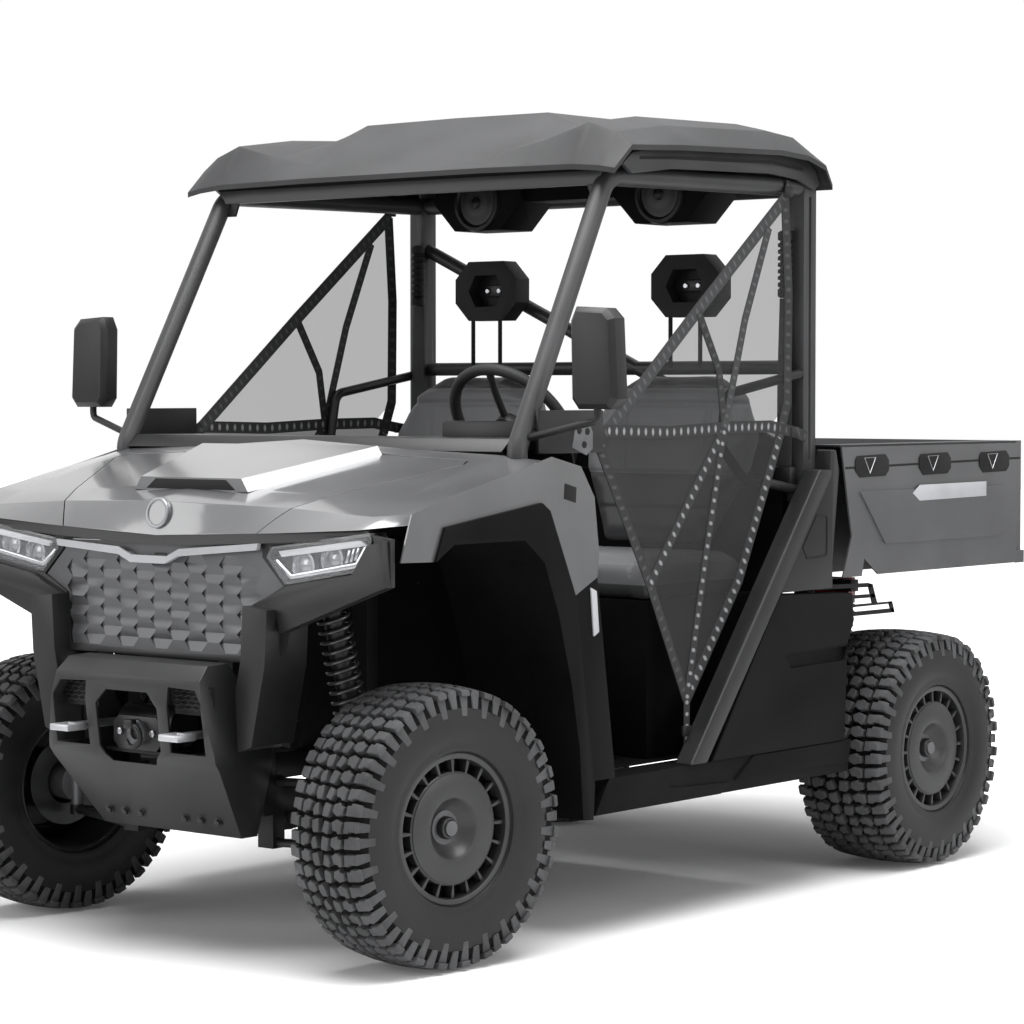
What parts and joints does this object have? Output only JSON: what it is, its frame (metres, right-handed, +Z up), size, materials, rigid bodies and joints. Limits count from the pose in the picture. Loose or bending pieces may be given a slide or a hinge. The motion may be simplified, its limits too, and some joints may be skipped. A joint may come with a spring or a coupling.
{
  "type": "side by side utility vehicle",
  "caption": "Side by side utility vehicle with hard roof, roll cage, door nets, tilting load bed with tailgate, hinged bonnet, coupled steering and road wheels",
  "frame": {"origin": "on the ground in the middle of the vehicle's outline", "axes": "+X is the vehicle's left side, +Y its rear, +Z up"},
  "size_m": [1.866, 2.966, 2.0617],
  "materials": {
    "frame_black": "powder coated satin black",
    "cage_grey": "powder coated dark grey tube",
    "paint_grey": "metallic dark grey, satin gloss",
    "roof_grey": "moulded matte dark grey",
    "moulding_black": "grained black moulding",
    "moulding_charcoal": "grained charcoal moulding",
    "case_grey": "plain grey case",
    "cast_alloy": "cast alloy",
    "lamp_lens": "clear lens over bright reflectors",
    "lamp_red": "red lens",
    "hook_steel": "bright zinc plated steel",
    "vinyl_grey": "grey vinyl",
    "foam_black": "soft black foam",
    "net_black": "black webbing and mesh",
    "belt_black": "black webbing and sleeves",
    "spring_steel": "dark painted springs and shafts",
    "rim_gunmetal": "gunmetal painted steel wheel",
    "tyre_rubber": "black all terrain tyre"
  },
  "bodies": {
    "chassis": {"chassis_frame": "frame_black", "floor_tub": "moulding_black", "seat_base": "moulding_black", "battery_pack": "case_grey", "drive_units": "cast_alloy", "rocker_panels": "moulding_black", "front_wings": "paint_grey", "wheel_arch_flares": "moulding_black", "wheel_liners": "moulding_black", "front_panel": "moulding_black", "grille": "moulding_black", "headlamps": "lamp_lens", "front_bumper": "moulding_charcoal", "winch": "frame_black", "tow_hooks": "hook_steel", "dashboard": "moulding_black", "steering_column": "frame_black", "roll_cage": "cage_grey", "door_struts": "moulding_charcoal", "roof": "roof_grey", "speaker_pods": "moulding_black", "seat_cushions": "vinyl_grey", "seat_backs": "vinyl_grey", "headrests": "foam_black", "side_nets": "net_black", "seat_belts": "belt_black", "restraint_bars": "frame_black", "mirrors": "moulding_black", "net_brackets": "frame_black", "rear_lower_panels": "moulding_black", "rear_upper_panels": "moulding_charcoal", "rear_hub_carriers": "cast_alloy", "suspension_links": "frame_black", "shock_absorbers": "spring_steel", "drive_shafts": "spring_steel", "hitch_receiver": "frame_black", "tail_lamps": "lamp_red"},
    "bonnet": {"bonnet": "paint_grey"},
    "bed": {"bed_tub": "moulding_charcoal", "bed_side_panels": "paint_grey"},
    "tailgate": {"tailgate": "paint_grey"},
    "steering_wheel": {"steering_wheel": "foam_black"},
    "knuckle_left": {"knuckle_left": "cast_alloy"},
    "knuckle_right": {"knuckle_right": "cast_alloy"},
    "wheel_front_left": {"rim_front_left": "rim_gunmetal", "tyre_front_left": "tyre_rubber"},
    "wheel_front_right": {"rim_front_right": "rim_gunmetal", "tyre_front_right": "tyre_rubber"},
    "wheel_rear_left": {"rim_rear_left": "rim_gunmetal", "tyre_rear_left": "tyre_rubber"},
    "wheel_rear_right": {"rim_rear_right": "rim_gunmetal", "tyre_rear_right": "tyre_rubber"}
  },
  "joints": [
    {"name": "bonnet_hinge", "type": "hinge", "parent": "chassis", "child": "bonnet", "pos_m": [0, -0.877, 1.196], "axis": [-1, 0, 0], "range_deg": [0, 50]},
    {"name": "bed_tilt", "type": "hinge", "parent": "chassis", "child": "bed", "pos_m": [0, 1.0915, 0.812], "axis": [-1, 0, 0], "range_deg": [0, 40]},
    {"name": "tailgate_hinge", "type": "hinge", "parent": "bed", "child": "tailgate", "pos_m": [0, 1.465, 0.85], "axis": [-1, 0, 0], "range_deg": [0, 90]},
    {"name": "steering_wheel_turn", "type": "hinge", "parent": "chassis", "child": "steering_wheel", "pos_m": [0.37, -0.4435, 1.25], "axis": [0, 0.8192, 0.5736], "range_deg": [-141, 219]},
    {"name": "steer_left", "type": "hinge", "parent": "chassis", "child": "knuckle_left", "pos_m": [0.556, -1.0835, 0.33], "axis": [0, 0, 1], "range_deg": [-23.5, 36.5]},
    {"name": "steer_right", "type": "hinge", "parent": "chassis", "child": "knuckle_right", "pos_m": [-0.556, -1.0835, 0.33], "axis": [0, 0, 1], "range_deg": [-23.5, 36.5]},
    {"name": "spin_front_left", "type": "hinge", "parent": "knuckle_left", "child": "wheel_front_left", "pos_m": [0.64244, -1.09335, 0.33], "axis": [0.9936, -0.1132, 0], "continuous": true},
    {"name": "spin_front_right", "type": "hinge", "parent": "knuckle_right", "child": "wheel_front_right", "pos_m": [-0.64244, -1.07365, 0.33], "axis": [0.9936, -0.1132, 0], "continuous": true},
    {"name": "spin_rear_left", "type": "hinge", "parent": "chassis", "child": "wheel_rear_left", "pos_m": [0.643, 0.9565, 0.33], "axis": [1, 0, 0], "continuous": true},
    {"name": "spin_rear_right", "type": "hinge", "parent": "chassis", "child": "wheel_rear_right", "pos_m": [-0.643, 0.9565, 0.33], "axis": [1, 0, 0], "continuous": true}
  ],
  "couplings": [
    {"joint": "steer_left", "follows": "steering_wheel_turn", "ratio": 0.16667},
    {"joint": "steer_right", "follows": "steering_wheel_turn", "ratio": 0.16667}
  ]
}
